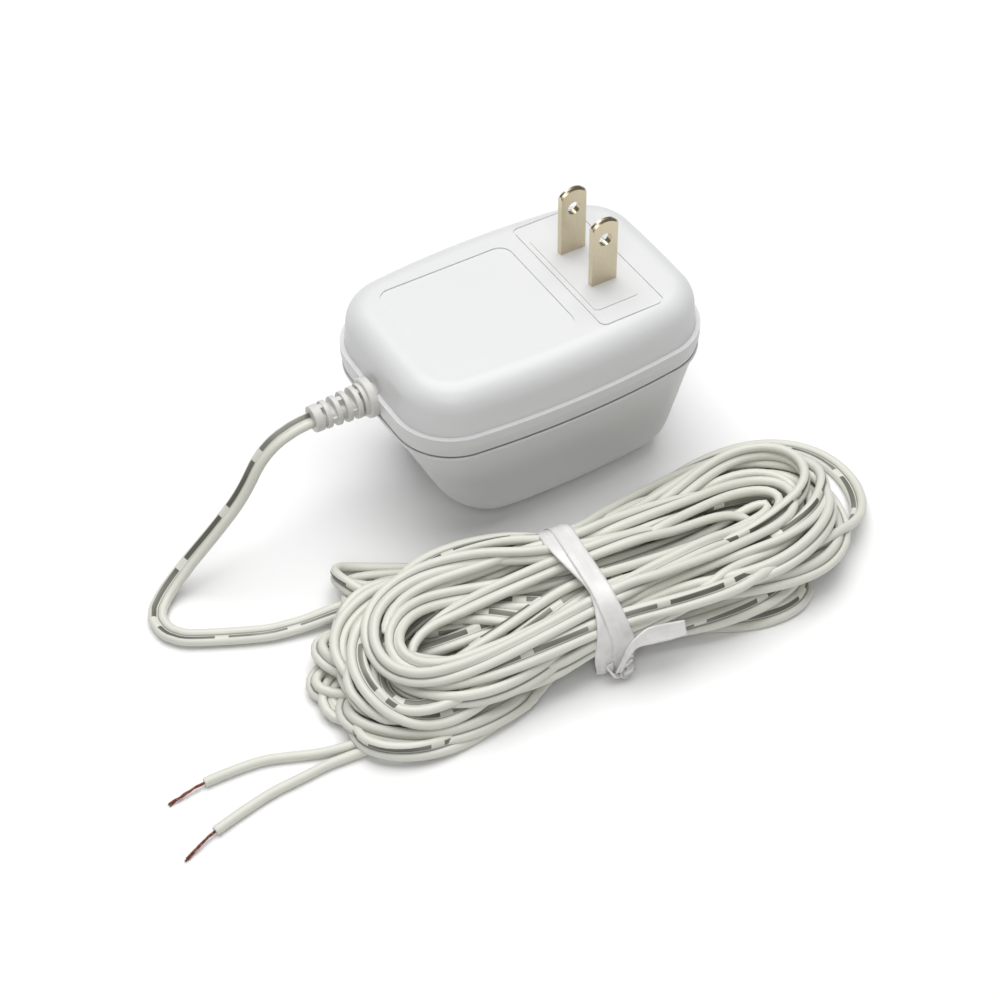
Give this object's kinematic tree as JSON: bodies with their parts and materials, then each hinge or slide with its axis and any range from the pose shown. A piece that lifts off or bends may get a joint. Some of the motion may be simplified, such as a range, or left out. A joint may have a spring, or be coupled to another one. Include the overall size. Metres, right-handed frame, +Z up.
{
  "type": "doorbell transformer",
  "caption": "Plug-in doorbell transformer: rounded white casing, flat plug blades on its face, ribbed strain relief and a long twin cord tied in a hank with two bared wire ends.",
  "frame": {"origin": "middle of the casing's base, between its two ends at the seam and on the plane it stands on", "axes": "+Z up through the plug blades, +X from the cord's end of the casing to the blades' end, +Y across"},
  "size_m": [0.1782, 0.1011, 0.0634],
  "materials": {
    "casing": "fine matte, cool white",
    "relief": "satin, slightly grey white",
    "cord": "satin, soft ivory",
    "strap": "milky, nearly clear",
    "blade": "nickel plate over brass, warm",
    "strand": "bare copper, dulled",
    "lamination": "dark, varnished sheets",
    "bobbin": "moulded nylon",
    "winding": "enamelled copper",
    "tape": "yellow film tape",
    "pin": "tinned",
    "fuse": "epoxy sealed, satin",
    "hookup": "satin insulation"
  },
  "bodies": {
    "root": {"front_shell": "casing", "back_shell": "casing", "blade_left": "blade", "blade_right": "blade", "core_e_laminations": "lamination", "core_i_laminations": "lamination", "bobbin": "bobbin", "primary_winding": "winding", "secondary_winding": "winding", "primary_tape": "tape", "secondary_tape": "tape", "primary_pins": "pin", "secondary_pins": "pin", "thermal_fuse": "fuse", "primary_lead_left": "hookup", "primary_lead_right": "hookup", "core_wire_left": "cord", "core_wire_right": "cord", "strain_relief": "relief", "cord_hank": "cord", "hank_tie": "strap", "cord_lead": "cord", "wire_end_upper": "cord", "wire_end_lower": "cord", "strands_upper": "strand", "strands_lower": "strand"}
  },
  "joints": []
}
